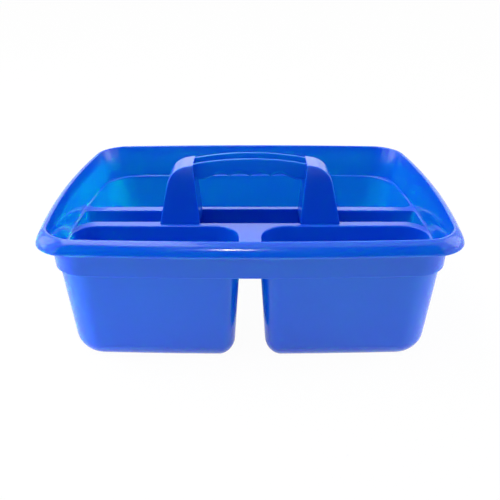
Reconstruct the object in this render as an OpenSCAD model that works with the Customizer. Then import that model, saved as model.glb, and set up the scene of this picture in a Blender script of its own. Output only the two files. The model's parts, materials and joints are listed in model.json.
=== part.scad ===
// Carry caddy for hobby tools: a moulded tray with bins and a cross trough, and a snap-in carry handle.
// Millimetres. Z is up, the base stands on z = 0, X runs along the caddy and the front looks towards -Y.

/* [Rim] */
// Overall width, from lip to lip at the widest point
rim_w = 380; // [330:1:440]
// Overall depth, from lip to lip at the widest point
rim_d = 282; // [255:1:330]
// Height of the crest of the rolled rim
rim_h = 130; // [122:1:150]
// Straight skirt of the roll above its lower lip
lip_skirt = 1; // [0.5:0.5:6]
// How far the roll stands out from the foot of the wall
rim_overhang = 11.75; // [9:0.25:18]
// Height of the roll from its lower lip to its crest
rim_drop = 11; // [8:0.5:14]
// Radius that leads from the crest down into the tray
crest_r = 5; // [2:0.5:6]
// Shape of the roll's slope: 1 is straight and 2 is a full ellipse
roll_power = 1.45; // [1.2:0.05:2]

/* [Walls] */
// Wall thickness of the mouldings
wall = 2; // [1.6:0.1:2.6]
// How far the front and the back bow outwards in plan
bow_front = 6.5; // [1:0.5:8]
// How far the ends bow outwards in plan
bow_side = 11.5; // [1:0.5:14]
// Plan radius of the corners of the upper wall and the rim
wall_corner_r = 26; // [20:1:36]
// Draft of the upper wall, degrees
wall_draft = 2; // [1:0.5:4]
// Width of the ledge between the upper wall and the bins
ledge = 1.75; // [1.5:0.25:6]

/* [Deck and bins] */
// Height of the deck, which is the top of the bins
deck_h = 95; // [80:1:104]
// Draft of the bin walls that face outwards, degrees
outer_draft = 4.4; // [2:0.1:6]
// Draft of the bin walls that face each other, degrees
inner_draft = 3.7; // [2:0.1:5]
// Deck that shows in front of and behind the handle's legs
strip_w = 3.6; // [2:0.1:8]
// Width of the deck stem between the two front bins
stem_w = 21; // [14:1:40]
// Radius between the walls and the floor of a bin, outside
floor_r = 17.5; // [8:0.5:20]
// Plan radius of a front bin at its outer front corner
front_outer_r = 31; // [16:1:36]
// Plan radius of a front bin at its outer rear corner
front_back_r = 24; // [16:1:32]
// Plan radius of a front bin where the stem meets the deck
stem_r = 26; // [10:1:28]
// Plan radius of a front bin at the front of the stem
notch_r = 20; // [10:1:28]
// Plan radius of the rear bin at the deck
rear_front_r = 12; // [8:1:24]
// Rounding of the deck's edges
edge_r = 1.25; // [0.5:0.25:2]

/* [Trough] */
// Width of the trough across the deck
trough_d = 28; // [20:1:32]
// Depth of the trough below the deck
trough_h = 32; // [28:1:45]
// Length of the wide ends of the trough, round the corners of the front bins
trough_end_w = 18; // [10:1:24]
// Radius along the floor of the trough
trough_floor_r = 4; // [2:0.5:6]
// How far the handle's legs seat on the deck round the pocket
leg_seat = 2.5; // [2:0.25:3]

/* [Handle] */
// Height of the grip's crown above the base
handle_h = 160; // [152:0.5:180]
// Distance between the outer edges of the legs at the deck
legs_w = 180.5; // [174:0.5:200]
// Width of a leg at the deck
leg_w = 40; // [36:0.5:44]
// Depth of a leg at the deck
leg_d = 41; // [38:0.5:44]
// Depth of a leg at its top
leg_top_d = 31; // [24:0.5:34]
// How far the outer edge of a leg leans in, degrees
leg_lean = 12.5; // [8:0.5:16]
// How far the inner edge of a leg leans out, degrees
leg_inner_lean = 4.8; // [0:0.1:6]
// Radius of a leg's shoulder
shoulder_r = 23; // [12:1:26]
// Slope of a leg's top towards the shoulder, degrees
shoulder_slope = 9; // [4:0.5:12]

/* [Grip] */
// Depth of the grip from front to back
grip_d = 21.5; // [14:0.5:24]
// How far the grip's crown rises above its ends
grip_rise = 5.3; // [3:0.1:8]
// Height of the grip at its crown, down to the top of the finger grooves
grip_h = 16; // [11:0.5:19]
// Number of finger grooves
finger_count = 4; // [3:1:4]
// Width of one finger groove
finger_w = 20.5; // [16:0.5:21]
// Depth of a finger groove
finger_depth = 3.1; // [2:0.1:5]
// How far the haunches reach below the finger grooves' tops
haunch = 6.5; // [5:0.5:10]
// Level stretch of a haunch beside the leg
haunch_flat = 10; // [2:0.5:12]

/* [Snap joint] */
// Clearance between the handle and the tray
fit_gap = 0.3; // [0.2:0.05:0.5]
// Gap between the spigots' ends and the floor of the pocket
spigot_gap = 2; // [1:0.5:4]
// Width of a snap tongue
tongue_w = 13; // [8:1:16]
// Slit beside a snap tongue
slit = 1.2; // [0.8:0.1:2]
// Reach of a snap tongue's barb
barb = 1.5; // [1:0.1:1.7]
// Height of a barb
barb_h = 5; // [3:0.5:6]

/* [Hidden] */

corner_steps = 6;
side_steps = 8;
round_steps = 5;
edge_steps = 2;
arc_steps = 8;
cut = 1;
least_r = 0.8;
tray_color = "royalblue";
handle_color = "mediumblue";

// Reference outline: the outside of the upper wall at the deck, before it is bowed
lip_x = rim_w / 2 - bow_side;
lip_y = rim_d / 2 - bow_front;
wall_x = lip_x - rim_overhang;
wall_y = lip_y - rim_overhang;
lip_h = rim_h - rim_drop;
bin_x = wall_x - ledge;
bin_y = wall_y - ledge;
bin_top = deck_h - wall / 2;
gap_x = stem_w / 2 - wall;
strip_y = leg_d / 2 + strip_w - wall;
trough_floor = deck_h - trough_h;
trough_y = trough_d / 2;
pocket_x = legs_w / 2 - leg_seat;
pocket_y = leg_d / 2 - leg_seat;
pocket_floor = trough_floor + trough_floor_r;
outer_slope = tan(outer_draft);
inner_slope = tan(inner_draft);
wall_slope = tan(wall_draft);
wall_top = rim_h - crest_r;
wall_run = (wall_top - deck_h) * wall_slope - wall;
crest_out = wall_run + crest_r;

// Handle: levels and lines of the legs
leg_x = legs_w / 2;
leg_in_x = leg_x - leg_w;
leg_top = handle_h - grip_rise;
leg_rise = leg_top - deck_h;
leg_mid_x = leg_x - leg_w / 2;
leg_top_in_x = leg_in_x + leg_rise * tan(leg_inner_lean);
grip_r = (leg_top_in_x * leg_top_in_x + grip_rise * grip_rise) / (2 * grip_rise);
groove_top = handle_h - grip_h;
groove_r = (finger_w * finger_w / 4 + finger_depth * finger_depth) / (2 * finger_depth);
grooves_x = finger_count * finger_w / 2;
haunch_h = groove_top - haunch;
haunch_x = max(grooves_x + wall / 2, leg_top_in_x - haunch_flat);
spigot_x = pocket_x - fit_gap;
spigot_in_x = leg_in_x + 2 * wall;
spigot_y = pocket_y - fit_gap;
spigot_low = pocket_floor + spigot_gap;
spigot_h = deck_h - spigot_low;
spigot_w = spigot_x - spigot_in_x;
spigot_mid = (spigot_x + spigot_in_x) / 2;
barb_top = spigot_low + barb_h + 2 * wall;

// Points along an arc
function arc(c, r, a, b, n) =
    [for (i = [0:n]) let (t = a + (b - a) * i / n) c + r * [cos(t), sin(t)]];

// Where two lines meet, each given by a point and a direction
function meet(p, d, q, e) = p + d * cross(q - p, e) / cross(d, e);

// An arc that rounds the corner q between the directions of p and s
function fillet(p, q, s, r, n) =
    let (u = (p - q) / norm(p - q), v = (s - q) / norm(s - q), half = acos(u * v) / 2)
    let (c = q + (u + v) / norm(u + v) * r / sin(half), t = r / tan(half))
    let (a = q + u * t - c, b = q + v * t - c, start = atan2(a.y, a.x), turn = atan2(cross(a, b), a * b))
    arc(c, r, start, start + turn, n);

// A rectangle from lo to hi with a radius for each corner, from the +X +Y corner round to the +X -Y one
function rounded(lo, hi, r) =
    let (c = [
        hi - r[0] * [1, 1],
        [lo.x + r[1], hi.y - r[1]],
        lo + r[2] * [1, 1],
        [hi.x - r[3], lo.y + r[3]]
    ])
    let (arcs = [for (i = [0:3]) arc(c[i], r[i], 90 * i, 90 * i + 90, corner_steps)])
    [for (i = [0:3]) let (a = arcs[i][corner_steps], b = arcs[(i + 1) % 4][0])
        each concat(arcs[i], [for (k = [1:side_steps - 1]) a + (b - a) * k / side_steps])];

// The plan's bow: the middle of each side stands further out than its ends
function bowed(p) = [
    p.x + bow_side * p.x / lip_x * (1 - pow(p.y / lip_y, 2)),
    p.y + bow_front * p.y / lip_y * (1 - pow(p.x / lip_x, 2))
];

// One level of a loft: a rounded rectangle moved in on its four sides, bowed and set at a height
function level(lo, hi, r, inset, z) =
    let (in_lo = lo + [inset[0], inset[2]], in_hi = hi - [inset[1], inset[3]])
    let (shrink = min(inset), in_r = [for (q = r) max(least_r, q - shrink)])
    [for (p = rounded(in_lo, in_hi, in_r)) concat(bowed(p), z)];

// A level of the tray's own outline, moved out by a distance with the same corner radius
function wall_level(out, z) =
    let (size = [wall_x, wall_y], r = wall_corner_r - out)
    level(-size, size, [r, r, r, r], [-out, -out, -out, -out], z);

// Levels of a drafted bin. Slopes are per side: -X, +X, -Y, +Y.
function bin_levels(lo, hi, r, slopes, grow, floor_z, fillet_r, top_z) =
    let (side = function (z, e) [for (s = slopes) (deck_h - z) * s - grow + e])
    concat(
        [for (i = [0:round_steps]) let (t = 90 - 90 * i / round_steps)
            let (z = floor_z + fillet_r * (1 - sin(t)))
            level(lo, hi, r, side(z, fillet_r * (1 - cos(t))), z)],
        [level(lo, hi, r, side(top_z, 0), top_z)]
    );

// Levels that round the edge of an opening in the deck
function edge_levels(lo, hi, r, grow) = concat(
    [for (i = [0:edge_steps]) let (t = 90 * i / edge_steps, e = -grow - edge_r * (1 - cos(t)))
        level(lo, hi, r, [e, e, e, e], deck_h - edge_r * (1 - sin(t)))],
    [level(lo, hi, r, [for (i = [0:3]) -grow - edge_r], deck_h + cut)]
);

// Skin between stacked levels, closed at both ends
module loft(levels) {
    n = len(levels[0]);
    m = len(levels);
    polyhedron(
        points = [for (l = levels) each l],
        faces = concat(
            [[for (i = [0:n - 1]) i]],
            [for (j = [0:m - 2], i = [0:n - 1]) let (k = (i + 1) % n) each [
                [j * n + i, (j + 1) * n + i, (j + 1) * n + k],
                [j * n + i, (j + 1) * n + k, j * n + k]
            ]],
            [[for (i = [n - 1:-1:0]) (m - 1) * n + i]]
        )
    );
}

// A bin's outside, or its space when grow is minus the wall
module bin_form(lo, hi, r, slopes, grow, top_z) {
    hull() loft(bin_levels(lo, hi, r, slopes, grow, -grow, floor_r + grow, top_z));
}

// A bin's space, with the rounded edge where it opens through the deck
module bin_space(lo, hi, r, slopes) {
    bin_form(lo, hi, r, slopes, -wall, deck_h - edge_r);
    loft(edge_levels(lo, hi, r, -wall));
}

front_lo = [-bin_x, -bin_y];
front_hi = [-gap_x, -strip_y];
front_r = [stem_r, front_back_r, front_outer_r, notch_r];
front_slopes = [outer_slope, inner_slope, outer_slope, inner_slope];
rear_lo = [-bin_x, strip_y];
rear_hi = [bin_x, bin_y];
rear_r = [front_outer_r, front_outer_r, rear_front_r, rear_front_r];
rear_slopes = [outer_slope, outer_slope, inner_slope, outer_slope];

// A form and its mirror image on the other side of the caddy
module in_pairs() {
    children();
    mirror([1, 0, 0]) children();
}

module front_bin(grow, top_z) {
    bin_form(front_lo, front_hi, front_r, front_slopes, grow, top_z);
}

// Levels of the roll from its lip up to the crest, moved in by a distance
function roll_levels(inset, low) =
    let (reach = rim_overhang - crest_out, rise = rim_drop - lip_skirt - inset, k = 2 / roll_power)
    concat(
        [wall_level(rim_overhang - inset, low)],
        [for (i = [0:round_steps]) let (t = 90 * i / round_steps, out = rim_overhang - inset)
            wall_level(out - reach * (1 - pow(cos(t), k)), lip_h + lip_skirt + rise * pow(sin(t), k))]
    );

// The roll: a dome over the lip, hollow below
module rolled_rim() {
    difference() {
        loft(roll_levels(0, lip_h));
        loft(roll_levels(wall, lip_h - cut));
    }
}

// The upper wall and the deck as a solid block, before the spaces are taken out
module wall_block() {
    rise = rim_h - wall - deck_h;
    loft([wall_level(0, deck_h - wall), wall_level(rise * wall_slope, rim_h - wall)]);
}

// The open space above the deck, flared at the crest
module wall_space() {
    steps = edge_steps + 1;
    loft(concat(
        [wall_level(-wall, deck_h)],
        [for (i = [0:steps]) let (t = 90 * i / steps)
            wall_level(wall_run + crest_r * (1 - cos(t)), wall_top + crest_r * sin(t))],
        [wall_level(crest_out, rim_h + cut)]
    ));
}

// The straight-sided pocket for the handle's spigots
module pocket_form(size, r, low, top) {
    translate([0, 0, low]) linear_extrude(height = top - low) polygon(rounded(-size, size, r));
}

// The trough from end wall to end wall, with the pocket for the handle
module trough_block() {
    slopes = [outer_slope, outer_slope, inner_slope, inner_slope];
    size = [bin_x, trough_y + wall];
    r = [for (i = [0:3]) trough_floor_r + wall];
    end = [bin_x, front_back_r + strip_y];
    pocket = [pocket_x + wall, pocket_y + wall];
    floor_z = trough_floor - wall;
    hull() loft(bin_levels(-size, size, r, slopes, 0, floor_z, trough_floor_r + wall, bin_top));
    pocket_form(pocket, r, floor_z, bin_top);
    in_pairs() hull() loft(bin_levels(-end, [-bin_x + trough_end_w + wall, trough_y], r,
        [outer_slope, 0, inner_slope, 0], 0, floor_z, trough_floor_r + wall, bin_top));
}

module trough_space() {
    slopes = [outer_slope, outer_slope, inner_slope, inner_slope];
    size = [bin_x - wall, trough_y];
    r = [for (i = [0:3]) trough_floor_r];
    end = [bin_x - wall, front_back_r + strip_y];
    pocket = [pocket_x, pocket_y];
    hull() loft(bin_levels(-size, size, r, slopes, 0, trough_floor, trough_floor_r, deck_h + cut));
    pocket_form(pocket, r, pocket_floor, deck_h + cut);
    // The ends widen round the corners of the front bins
    in_pairs() difference() {
        hull() loft(bin_levels(-end, [-bin_x + trough_end_w, 0], r,
            [outer_slope, 0, inner_slope, 0], 0, trough_floor, trough_floor_r, deck_h + cut));
        front_bin(edge_r, deck_h + 2 * cut);
    }
}

// Slots in the pocket's walls that the barbs of the handle snap into
module snap_slots() {
    reach = 2 * (pocket_y + wall + fit_gap);
    in_pairs() translate([-leg_mid_x, 0, barb_top - barb_h / 2])
        cube([tongue_w + 2 * fit_gap, reach, barb_h + 2 * fit_gap], center = true);
}

module tray() {
    color(tray_color) difference() {
        union() {
            rolled_rim();
            wall_block();
            in_pairs() front_bin(0, bin_top);
            bin_form(rear_lo, rear_hi, rear_r, rear_slopes, 0, bin_top);
            trough_block();
        }
        wall_space();
        in_pairs() bin_space(front_lo, front_hi, front_r, front_slopes);
        bin_space(rear_lo, rear_hi, rear_r, rear_slopes);
        trough_space();
        snap_slots();
    }
}

// Front view of the left leg, moved in by a distance: a leaning box with a round shoulder
function leg_outline(inset) =
    let (out_dir = [sin(leg_lean), cos(leg_lean)], in_dir = [-sin(leg_inner_lean), cos(leg_inner_lean)])
    let (top_dir = [cos(shoulder_slope), sin(shoulder_slope)])
    let (out_p = [-leg_x, deck_h] + inset * [out_dir.y, -out_dir.x])
    let (in_p = [-leg_in_x, deck_h] - inset * [in_dir.y, -in_dir.x])
    let (top_p = [-leg_top_in_x, leg_top] + inset * [top_dir.y, -top_dir.x])
    let (base = deck_h + (inset > 0 ? wall : 0), flat = [1, 0])
    let (a = meet(out_p, out_dir, [0, base], flat), b = meet(out_p, out_dir, top_p, top_dir))
    let (c = meet(in_p, in_dir, top_p, top_dir), d = meet(in_p, in_dir, [0, base], flat))
    concat([a], fillet(a, b, c, shoulder_r - inset, 2 * arc_steps), [c, d]);

// A leg's block or its hollow: the front view crossed with the tapered side view
module leg_form(inset) {
    base = leg_d / 2 - inset;
    top = leg_top_d / 2 - inset;
    half_view = [[base, deck_h], [top, leg_top], [top, leg_top + wall]];
    side_view = concat(half_view, [for (i = [2:-1:0]) [-half_view[i].x, half_view[i].y]]);
    intersection() {
        rotate([90, 0, 0]) linear_extrude(height = 2 * leg_d, center = true) polygon(leg_outline(inset));
        rotate([90, 0, 90]) linear_extrude(height = 3 * legs_w, center = true) polygon(side_view);
    }
}

// A hollow spigot below the leg, with a snap tongue front and back
module spigot() {
    root = spigot_y - wall / 2;
    barb_low = barb_top - barb_h;
    barb_view = [[root, barb_top], [spigot_y + barb, barb_top], [spigot_y, barb_low], [root, barb_low]];
    slit_x = (tongue_w + slit) / 2;
    slit_mid = spigot_low + spigot_h / 2 - 3 * wall;
    difference() {
        union() {
            translate([-spigot_mid, 0, spigot_low + (spigot_h + wall) / 2])
                cube([spigot_w, 2 * spigot_y, spigot_h + wall], center = true);
            for (s = [0, 1]) mirror([0, s, 0]) translate([-leg_mid_x, 0, 0])
                rotate([90, 0, 90]) linear_extrude(height = tongue_w - 2 * fit_gap, center = true)
                    polygon(barb_view);
        }
        for (s = [-1, 1]) translate([-leg_mid_x + s * slit_x, 0, slit_mid])
            cube([slit, 3 * spigot_y, spigot_h], center = true);
    }
}

module leg() {
    difference() {
        union() {
            leg_form(0);
            spigot();
        }
        leg_form(wall);
        translate([-spigot_mid, 0, deck_h - spigot_h / 2])
            cube([spigot_w - 2 * wall, 2 * (spigot_y - wall), spigot_h + 3 * wall], center = true);
    }
}

// Front view of the grip: a rounded crown, finger grooves below and haunches that slope down to the legs
function grip_outline(inset) =
    let (end_x = leg_top_in_x + wall, crown = asin(end_x / grip_r), r = groove_r + inset)
    let (groove_z = groove_top - groove_r, turn = asin(finger_w / 2 / r))
    let (low = haunch_h + inset, slope = haunch / (haunch_x - grooves_x + finger_w / 2))
    let (grooves = [for (i = [0:finger_count - 1], k = [0:arc_steps])
        let (a = turn * (1 - 2 * k / arc_steps), x = (i + 0.5) * finger_w - grooves_x - r * sin(a))
        if (i == 0 || k > 0) [x, min(groove_z + r * cos(a), low + slope * (haunch_x - abs(x)))]])
    concat(
        arc([0, handle_h - grip_r], grip_r, 90 - crown, 90 + crown, 2 * arc_steps),
        [[-end_x, low], [-haunch_x, low]],
        grooves,
        [[haunch_x, low], [end_x, low]]
    );

// The grip: a channel that is open on top
module grip() {
    channel = 2 * (leg_top_in_x - wall / 2);
    difference() {
        rotate([90, 0, 0]) linear_extrude(height = grip_d, center = true) polygon(grip_outline(0));
        intersection() {
            rotate([90, 0, 0]) linear_extrude(height = grip_d - 2 * wall, center = true)
                translate([0, cut]) polygon(grip_outline(wall));
            translate([0, 0, handle_h]) cube([channel, grip_d, 2 * grip_h + 4 * haunch], center = true);
        }
    }
}

module carry_handle() {
    color(handle_color) {
        in_pairs() leg();
        grip();
    }
}

tray();
carry_handle();
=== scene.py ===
"""Dressed model of a moulded carry caddy: a tray with bins and a cross trough, and its snap-in carry handle.

Lengths in the classes are millimetres and angles are degrees. Meshes are built in metres, in the frame of the
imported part: Z is up, the base stands on z = 0, X runs along the caddy and the front looks towards -Y.
"""

from __future__ import annotations

import json
import logging
import math
from dataclasses import dataclass, field, replace
from enum import Enum

import bmesh
import bpy
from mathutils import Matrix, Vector

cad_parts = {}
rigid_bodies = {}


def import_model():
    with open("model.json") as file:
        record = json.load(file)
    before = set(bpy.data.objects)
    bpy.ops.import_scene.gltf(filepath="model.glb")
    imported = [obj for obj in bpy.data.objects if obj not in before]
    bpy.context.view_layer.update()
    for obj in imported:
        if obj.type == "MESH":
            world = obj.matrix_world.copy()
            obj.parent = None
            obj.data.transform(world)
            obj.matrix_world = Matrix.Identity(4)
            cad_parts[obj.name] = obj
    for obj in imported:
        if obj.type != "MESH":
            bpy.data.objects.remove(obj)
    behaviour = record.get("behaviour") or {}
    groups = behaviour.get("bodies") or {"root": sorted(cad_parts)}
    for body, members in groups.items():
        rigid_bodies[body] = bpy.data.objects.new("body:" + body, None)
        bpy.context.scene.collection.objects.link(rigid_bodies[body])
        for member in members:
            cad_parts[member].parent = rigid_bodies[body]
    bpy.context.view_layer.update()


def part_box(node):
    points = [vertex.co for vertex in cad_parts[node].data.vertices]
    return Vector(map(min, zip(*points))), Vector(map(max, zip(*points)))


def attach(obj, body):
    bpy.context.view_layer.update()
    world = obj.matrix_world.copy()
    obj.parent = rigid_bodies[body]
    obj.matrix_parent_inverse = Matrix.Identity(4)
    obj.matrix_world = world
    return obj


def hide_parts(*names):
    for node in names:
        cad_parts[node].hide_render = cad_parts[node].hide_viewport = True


LOG = logging.getLogger("caddy")
MM = 0.001
BODY = "root"
MATH = "ShaderNodeMath"
VECTOR_MATH = "ShaderNodeVectorMath"
SOCKETS = {
    bpy.types.Object: "NodeSocketObject",
    bpy.types.Material: "NodeSocketMaterial",
    tuple: "NodeSocketVector",
    float: "NodeSocketFloat",
    int: "NodeSocketInt",
}

# Stretches along the rounding of a small edge and of a floor
EDGE_STEPS = 6
FLOOR_STEPS = 10
# Points closer than this are welded, and a cutter passes the face that it opens by this much
WELD = 0.004
CUT_PAST = 1.0

Flat = tuple[float, float]
Solid = tuple[float, float, float]
Ring = list[Solid]


class Combine(Enum):
    """How one solid changes another."""

    JOIN = "UNION"
    CUT = "DIFFERENCE"


class Side(Enum):
    """The left or the right half of the caddy, as seen from the front."""

    LEFT = -1
    RIGHT = 1


def linear_colour(hex_code: str) -> tuple[float, float, float, float]:
    """Turn an sRGB hex colour into linear light.

    Args:
        hex_code: Six hex digits, red first.

    Returns:
        Red, green, blue and an alpha of 1.
    """
    parts = [int(hex_code[i : i + 2], 16) / 255 for i in (0, 2, 4)]
    red, green, blue = (c / 12.92 if c <= 0.04045 else ((c + 0.055) / 1.055) ** 2.4 for c in parts)
    return red, green, blue, 1.0


def add_node(
    tree: bpy.types.NodeTree,
    kind: str,
    settings: dict[str, object] | None = None,
    feeds: dict[str | int, object] | None = None,
) -> bpy.types.Node:
    """Add a node with its settings and links.

    Args:
        tree: Node tree that gets the node.
        kind: Blender's name for the node type.
        settings: Properties of the node.
        feeds: Input name or number, with what feeds it: a value, a socket or a node's first output.

    Returns:
        The new node.
    """
    node = tree.nodes.new(kind)
    for name, value in (settings or {}).items():
        setattr(node, name, value)
    for key, value in (feeds or {}).items():
        source = value.outputs[0] if isinstance(value, bpy.types.Node) else value
        if isinstance(source, bpy.types.NodeSocket):
            tree.links.new(source, node.inputs[key])
        else:
            node.inputs[key].default_value = source
    return node


def empty_tree(owner: bpy.types.Material | bpy.types.World) -> bpy.types.NodeTree:
    """Give a material or a world a node tree with nothing in it.

    Args:
        owner: Material or world.

    Returns:
        Its empty tree.
    """
    owner.use_nodes = True
    owner.node_tree.nodes.clear()
    return owner.node_tree


def looked_at(tree: bpy.types.NodeTree) -> bpy.types.Node:
    """Tell the rays that look at a backdrop from the rays that bring its light to a surface.

    Args:
        tree: Node tree of the backdrop.

    Returns:
        A node that gives one for a ray from the camera, a reflection or glass, and zero for any other.
    """
    ray = add_node(tree, "ShaderNodeLightPath").outputs
    seen = ray["Is Camera Ray"]
    for kind in ("Is Transmission Ray", "Is Glossy Ray"):
        seen = add_node(tree, MATH, {"operation": "MAXIMUM"}, {0: seen, 1: ray[kind]})
    return seen


def quarter(steps: int) -> list[float]:
    """Angles through a quarter turn, in radians."""
    return [math.radians(90 * i / steps) for i in range(steps + 1)]


def arc(centre: Flat, radius: float, start: float, end: float, steps: int) -> list[Flat]:
    """Points along an arc.

    Args:
        centre: Centre of the arc.
        radius: Radius of the arc.
        start: First angle.
        end: Last angle.
        steps: Number of stretches between the points.

    Returns:
        The points, both ends included.
    """
    angles = [math.radians(start + (end - start) * i / steps) for i in range(steps + 1)]
    return [(centre[0] + radius * math.cos(a), centre[1] + radius * math.sin(a)) for a in angles]


def fillet(before: Vector, corner: Vector, after: Vector, radius: float, steps: int) -> list[Flat]:
    """Round a corner between two straight edges.

    Args:
        before: A point on the edge that comes in.
        corner: The sharp corner.
        after: A point on the edge that goes out.
        radius: Radius of the rounding.
        steps: Number of stretches along it.

    Returns:
        Points along the rounding.
    """
    into, out = (before - corner).normalized(), (after - corner).normalized()
    half = into.angle(out) / 2
    centre = corner + (into + out).normalized() * radius / math.sin(half)
    first = corner + into * radius / math.tan(half) - centre
    last = corner + out * radius / math.tan(half) - centre
    start = math.degrees(math.atan2(first.y, first.x))
    turn = math.degrees(math.atan2(first.cross(last), first.dot(last)))
    return arc(tuple(centre), radius, start, start + turn, steps)


def crossing(point: Vector, along: Vector, other: Vector, direction: Vector) -> Vector:
    """Where the line through point meets the line through other."""
    return point + along * (other - point).cross(direction) / along.cross(direction)


def rounded(
    low: Flat, high: Flat, radii: tuple[float, ...], corner_steps: int, side_steps: int
) -> list[Flat]:
    """Outline of a rectangle with a radius for each corner.

    Args:
        low: Lowest corner.
        high: Highest corner.
        radii: Corner radii, from the +X +Y corner round to the +X -Y one.
        corner_steps: Stretches along a corner.
        side_steps: Stretches along a straight side.

    Returns:
        The outline, anticlockwise.
    """
    centres = [
        (high[0] - radii[0], high[1] - radii[0]),
        (low[0] + radii[1], high[1] - radii[1]),
        (low[0] + radii[2], low[1] + radii[2]),
        (high[0] - radii[3], low[1] + radii[3]),
    ]
    pairs = enumerate(zip(centres, radii))
    corners = [arc(centre, r, 90 * i, 90 * i + 90, corner_steps) for i, (centre, r) in pairs]
    outline: list[Flat] = []
    for i, corner in enumerate(corners):
        a, b = Vector(corner[-1]), Vector(corners[(i + 1) % 4][0])
        outline += corner
        outline += [tuple(a.lerp(b, k / side_steps)) for k in range(1, side_steps)]
    return outline


def turn_outwards(mesh: bpy.types.Mesh) -> None:
    """Turn the faces of a mesh outwards.

    Args:
        mesh: Mesh that is changed.
    """
    shape = bmesh.new()
    shape.from_mesh(mesh)
    bmesh.ops.recalc_face_normals(shape, faces=shape.faces)
    shape.to_mesh(mesh)
    shape.free()


def mesh_piece(name: str, points: list[Solid], faces: list[tuple[int, ...]]) -> bpy.types.Object:
    """Make a mesh object from points in millimetres, with its faces turned outwards.

    Args:
        name: Name of the object.
        points: Corners of the faces.
        faces: Point numbers of each face.

    Returns:
        The linked object.
    """
    mesh = bpy.data.meshes.new(name)
    mesh.from_pydata([tuple(v * MM for v in p) for p in points], [], faces)
    turn_outwards(mesh)
    piece = bpy.data.objects.new(name, mesh)
    bpy.context.scene.collection.objects.link(piece)
    return piece


def loft(name: str, rings: list[Ring]) -> bpy.types.Object:
    """Skin a closed solid over stacked rings.

    Args:
        name: Name of the object.
        rings: Rings with as many points each, from one end to the other.

    Returns:
        The solid.
    """
    count = len(rings[0])
    faces = [tuple(range(count)), tuple((len(rings) - 1) * count + i for i in range(count))]
    for j in range(len(rings) - 1):
        for i in range(count):
            k = (i + 1) % count
            faces.append((j * count + i, j * count + k, (j + 1) * count + k, (j + 1) * count + i))
    return mesh_piece(name, [p for ring in rings for p in ring], faces)


def block(name: str, low: Solid, high: Solid) -> bpy.types.Object:
    """A plain cutter or root between two corners."""
    outline = [(low[0], low[1]), (high[0], low[1]), (high[0], high[1]), (low[0], high[1])]
    return loft(name, [[(x, y, z) for x, y in outline] for z in (low[2], high[2])])


def settle(piece: bpy.types.Object) -> None:
    """Keep what a piece's modifiers make as its plain mesh.

    Args:
        piece: Object that is changed.
    """
    graph = bpy.context.evaluated_depsgraph_get()
    mesh = bpy.data.meshes.new_from_object(piece.evaluated_get(graph))
    piece.modifiers.clear()
    piece.data = mesh


def combine(target: bpy.types.Object, how: Combine, *tools: bpy.types.Object) -> bpy.types.Object:
    """Join solids to a target or cut them out of it.

    Args:
        target: Solid that is changed.
        how: Join or cut.
        tools: Solids that are used up.

    Returns:
        The target.
    """
    for tool in tools:
        modifier = target.modifiers.new(how.name, "BOOLEAN")
        modifier.operation = how.value
        modifier.solver = "MANIFOLD"
        modifier.object = tool
        settle(target)
        bpy.data.objects.remove(tool)
    return target


def mirrored(piece: bpy.types.Object, name: str) -> bpy.types.Object:
    """Copy a solid to the other side of the caddy's middle plane.

    Args:
        piece: Solid on one side.
        name: Name of the copy.

    Returns:
        The copy, with its faces turned outwards.
    """
    points = [(-v.co.x / MM, v.co.y / MM, v.co.z / MM) for v in piece.data.vertices]
    return mesh_piece(name, points, [tuple(p.vertices) for p in piece.data.polygons])


def section_curve(name: str, outline: list[Flat]) -> bpy.types.Object:
    """Closed section for a sweep: a curve whose X points outwards and whose Y points down.

    Args:
        name: Name of the curve.
        outline: Distance outwards and height of each point.

    Returns:
        The curve's object.
    """
    curve = bpy.data.curves.new(name, "CURVE")
    curve.dimensions = "3D"
    spline = curve.splines.new("POLY")
    spline.points.add(len(outline) - 1)
    for point, (out, height) in zip(spline.points, outline):
        point.co = (out * MM, -height * MM, 0.0, 1.0)
    spline.use_cyclic_u = True
    section = bpy.data.objects.new(name, curve)
    bpy.context.scene.collection.objects.link(section)
    return section


def node_tree(name: str, sizes: dict[str, object]) -> tuple[bpy.types.NodeTree, bpy.types.NodeOutputs]:
    """Start a Geometry Nodes tree with an input for each size and one geometry output.

    Args:
        name: Name of the tree.
        sizes: Input names with the values that they will get.

    Returns:
        The tree and the sockets that give its inputs.
    """
    tree = bpy.data.node_groups.new(name, "GeometryNodeTree")
    for label, value in sizes.items():
        tree.interface.new_socket(label, in_out="INPUT", socket_type=SOCKETS[type(value)])
    tree.interface.new_socket("Geometry", in_out="OUTPUT", socket_type="NodeSocketGeometry")
    return tree, add_node(tree, "NodeGroupInput").outputs


def close_tree(tree: bpy.types.NodeTree, shape: bpy.types.Node, finish: bpy.types.NodeSocket) -> None:
    """End a tree in real geometry that carries its material.

    Args:
        tree: Geometry Nodes tree.
        shape: Node that gives the finished shape.
        finish: Socket that gives the material.
    """
    real = add_node(tree, "GeometryNodeRealizeInstances", feeds={"Geometry": shape})
    dressed = add_node(tree, "GeometryNodeSetMaterial", feeds={"Geometry": real, "Material": finish})
    add_node(tree, "NodeGroupOutput", feeds={0: dressed})


def grow(name: str, tree: bpy.types.NodeTree, sizes: dict[str, object]) -> bpy.types.Object:
    """Run a Geometry Nodes tree and keep its result as a plain mesh, with its faces turned outwards.

    Args:
        name: Name of the object.
        tree: Tree to run.
        sizes: Values for its named inputs. The section among them is used up.

    Returns:
        The object, with no modifier left.
    """
    piece = mesh_piece(name, [], [])
    modifier = piece.modifiers.new(name, "NODES")
    modifier.node_group = tree
    for item in tree.interface.items_tree:
        if item.in_out == "INPUT":
            modifier[item.identifier] = sizes[item.name]
    settle(piece)
    bpy.data.objects.remove(sizes["Section"])
    turn_outwards(piece.data)
    return piece


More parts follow.
